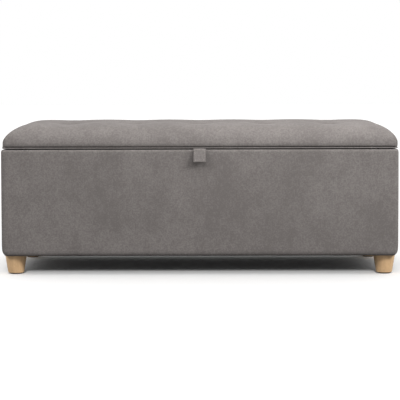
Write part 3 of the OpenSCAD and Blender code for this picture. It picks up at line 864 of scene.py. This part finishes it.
def lid_welt():
    """The folded hem of the underside's cloth, tacked on around the lid's lower edge."""
    shape = bmesh.new()
    loft(shape, [outline(inset * MM, UNDERSIDE_Z + z * MM) for inset, z in WELT], closed=True)
    for vert in shape.verts:
        end = PAD_LEFT if vert.co.x < 0 else PAD_RIGHT
        vert.co.x *= 1 - (HALF_W - end - 2 * MM) / HALF_W
    outward(shape)
    made = mesh_object("lid_welt", shape)
    made.data.materials.append(PLUSH)
    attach(made, "lid")


# ---------------------------------------------------------------- pull tab


# The strip's two faces, across it and out from its middle (mm): the one towards the box has raised,
# stitched edges, and its right edge is a second layer that stands out past the first
TAB_INNER = (
    (-18.5, 0.4), (-18.1, 1.1), (-17.2, 1.7), (-15.9, 1.7), (-14.8, 1.2), (-13.8, 1.1), (-11, 1.3),
    (-5.5, 1.4), (0, 1.4), (5.5, 1.4), (10, 1.3), (12.0, 1.1), (13.0, 1.2), (14.0, 1.8), (15.4, 1.9),
    (16.2, 1.3), (16.7, 0.5), (18.2, 0.4), (18.7, 0.2),
)
TAB_OUTER = (
    (18.7, -0.3), (18.2, -0.9), (16.5, -1.2), (10, -1.2), (0, -1.2), (-10, -1.2), (-16.5, -1.2),
    (-18.2, -0.9), (-18.6, -0.3),
)
# How thick the strip is along its path: thinner under the lid, pinched at the lower seam, thin at its end
TAB_THICK = [0.8] * 6 + [1.0] * 9 + [0.72, 1.0, 0.9, 0.45]
# The path's points where the strip leaves the lid, where its flap is straight, and where its seam is
TAB_LEAVES, TAB_STRAIGHT, TAB_SEAM = 4, 7, -4
TAB_LEAN = math.radians(18)


def tab_path():
    """The tab's middle line: out under the lid, round a small bend and down, leaning off the box."""
    axis = Vector(TAB_JOINT["pos_m"])
    down = Vector((0, -math.sin(TAB_LEAN), -math.cos(TAB_LEAN)))
    path = [axis + Vector((0, y * MM, -0.4 * MM)) for y in (40.5, 30.5, 20.5, 10.5, 4.5)]
    path += [axis + Vector((0, 2.2 * MM, -0.6 * MM)), axis + Vector((0, 0.3 * MM, -1.9 * MM))]
    path += [axis + down * step * MM for step in (4, 7, 11, 15, 19, 23, 27, 31, 35, 38, 40, 41.3)]
    return path


def pull_tab():
    """A folded strip of cover with stitched edges, bent over the lid's front edge."""
    path = tab_path()
    shape = bmesh.new()
    loops = []
    for index, (point, thick) in enumerate(zip(path, TAB_THICK)):
        before, after = path[max(index - 1, 0)], path[min(index + 1, len(path) - 1)]
        along = (after - before).normalized()
        inwards = Vector((0, -along.z, along.y))
        section = [Vector((x * MM, 0, 0)) + inwards * t * thick * MM for x, t in TAB_INNER + TAB_OUTER]
        loops.append([point + place for place in section])
    for end in loft(shape, loops):
        bmesh.ops.contextual_create(shape, geom=end)
    outward(shape)
    made = mesh_object("pull_tab_strip", shape)
    subdivide(made)
    apply_modifiers(made)
    made.data.materials.append(PLUSH)
    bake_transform(made)
    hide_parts("pull_tab", "pull_tab_root")


def stitch(shape, place, along, face):
    """One short raised stitch that follows a line on a surface."""
    made = bmesh.ops.create_icosphere(shape, subdivisions=1, radius=1.0)["verts"]
    side = along.cross(face).normalized()
    turn = Matrix((along.normalized(), side, face.normalized())).transposed().to_4x4()
    bmesh.ops.scale(shape, verts=made, vec=(1.3 * MM, 0.32 * MM, 0.32 * MM))
    bmesh.ops.transform(shape, verts=made, matrix=Matrix.Translation(place) @ turn)


def tab_stitches():
    """Two rows of stitches down the tab's edges and one across its lower fold, on both faces."""
    path = tab_path()
    top, bottom = path[TAB_STRAIGHT], path[TAB_SEAM]
    along = (bottom - top).normalized()
    face = Vector((0, along.z, -along.y))
    across = Vector((1, 0, 0))
    edge, spacing, count = 14 * MM, 3.5 * MM, 8
    shape = bmesh.new()
    for side in (-1, 1):
        for step in range(count):
            spot = top.lerp(bottom, (step + 0.5) / count) + across * side * edge
            for out in (-face, face):
                stitch(shape, spot + out * MM, along, out)
    for step in range(count):
        spot = bottom + across * (step - (count - 1) / 2) * spacing
        for out in (-face, face):
            stitch(shape, spot + out * MM, across, out)
    outward(shape)
    made = mesh_object("tab_stitches", shape)
    made.data.materials.append(THREAD)
    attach(made, "pull_tab")


# ---------------------------------------------------------------- assembly

camera()
room()
lights(floor())

# Each CAD node comes with a plain material named after its slot
for piece in frame["nodes"].values():
    slot = piece.data.materials[0].name.split(".")[0]
    piece.data.materials.clear()
    piece.data.materials.append(FINISHES[slot])

lid_pad()
box_upholstery()
rim_facing()
lid_welt()
pull_tab()
tab_stitches()

bpy.context.scene.view_settings.view_transform = "Standard"
